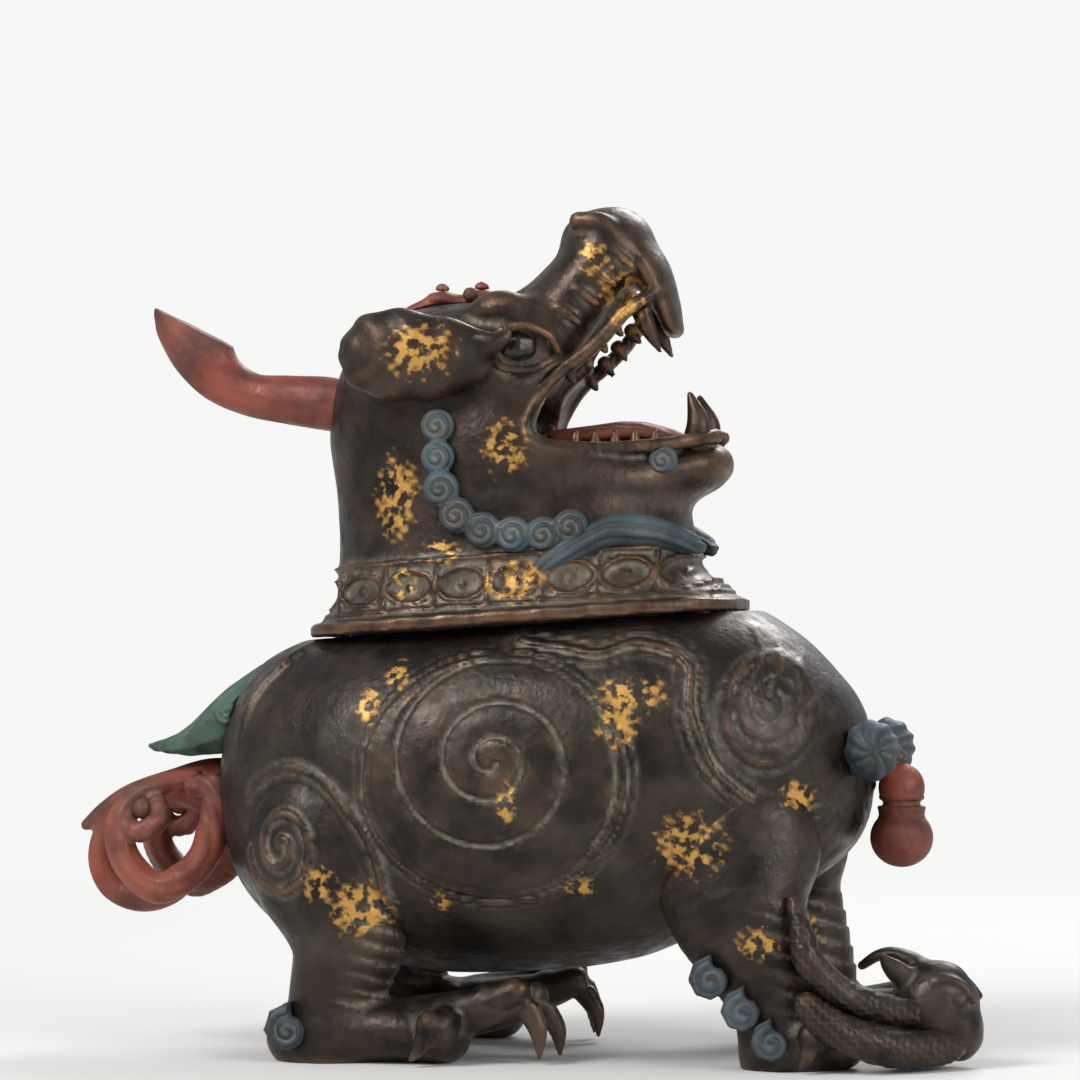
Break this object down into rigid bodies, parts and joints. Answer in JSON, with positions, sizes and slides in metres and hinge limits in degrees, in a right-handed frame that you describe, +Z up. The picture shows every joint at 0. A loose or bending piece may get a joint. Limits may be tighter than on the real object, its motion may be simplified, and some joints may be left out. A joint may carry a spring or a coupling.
{
  "type": "beast-shaped incense burner",
  "caption": "Standing bronze beast with open jaws: the hollow belly holds the incense and the head and neck lift off as its cover",
  "frame": {"origin": "middle of the bounding box's base, on the ground", "axes": "+X the way the beast faces and its longest extent, +Y its left, +Z up"},
  "size_m": [0.3926, 0.176, 0.354],
  "materials": {
    "bronze": "dark lacquered bronze, worn to brown on the highs",
    "russet": "brown lacquered bronze with gold-leaf remains",
    "cinnabar": "worn red lacquer",
    "malachite": "worn green pigment",
    "azurite": "worn blue pigment under dust",
    "dusty": "dusty bronze",
    "eye_enamel": "dark glossy eye"
  },
  "bodies": {
    "vessel": {"vessel_body": "bronze", "serpent_head": "dusty", "serpent_coil_upper": "bronze", "serpent_coil_lower": "bronze", "rump_leaf": "malachite", "tail_root": "cinnabar", "gourd_bell": "cinnabar", "bell_lug": "russet", "hind_leg_right": "bronze", "hind_leg_left": "bronze", "fore_leg_right": "bronze", "fore_leg_left": "bronze", "heel_scroll_right": "azurite", "heel_scroll_left": "azurite", "fore_scroll_1_right": "azurite", "fore_scroll_1_left": "azurite", "fore_scroll_2_right": "azurite", "fore_scroll_2_left": "azurite", "fore_scroll_3_right": "azurite", "fore_scroll_3_left": "azurite", "tail_curl_right": "cinnabar", "tail_curl_left": "cinnabar", "tail_bead_right": "cinnabar", "tail_bead_left": "cinnabar", "leaf_scroll_right": "malachite", "leaf_scroll_left": "malachite", "chest_tuft_right": "azurite", "chest_tuft_left": "azurite"},
    "cover": {"cover_head": "russet", "horn": "cinnabar", "mouth_tongue": "cinnabar", "crown_plate": "cinnabar", "crown_bead_front": "cinnabar", "crown_bead_rear": "cinnabar", "crown_bead_right": "cinnabar", "crown_bead_left": "cinnabar", "ear_right": "russet", "ear_left": "russet", "eye_right": "eye_enamel", "eye_left": "eye_enamel", "mane_curls_right": "azurite", "mane_curls_left": "azurite", "beard_lock_right": "azurite", "beard_lock_left": "azurite", "lower_fang_right": "bronze", "lower_fang_left": "bronze", "upper_fang_right": "russet", "upper_fang_left": "russet", "chin_curl_right": "azurite", "chin_curl_left": "azurite"}
  },
  "joints": [
    {"name": "lid_lift", "type": "slide", "parent": "vessel", "child": "cover", "axis": [-0.0645, 0, 0.9979], "range_m": [0, 0.15]}
  ]
}
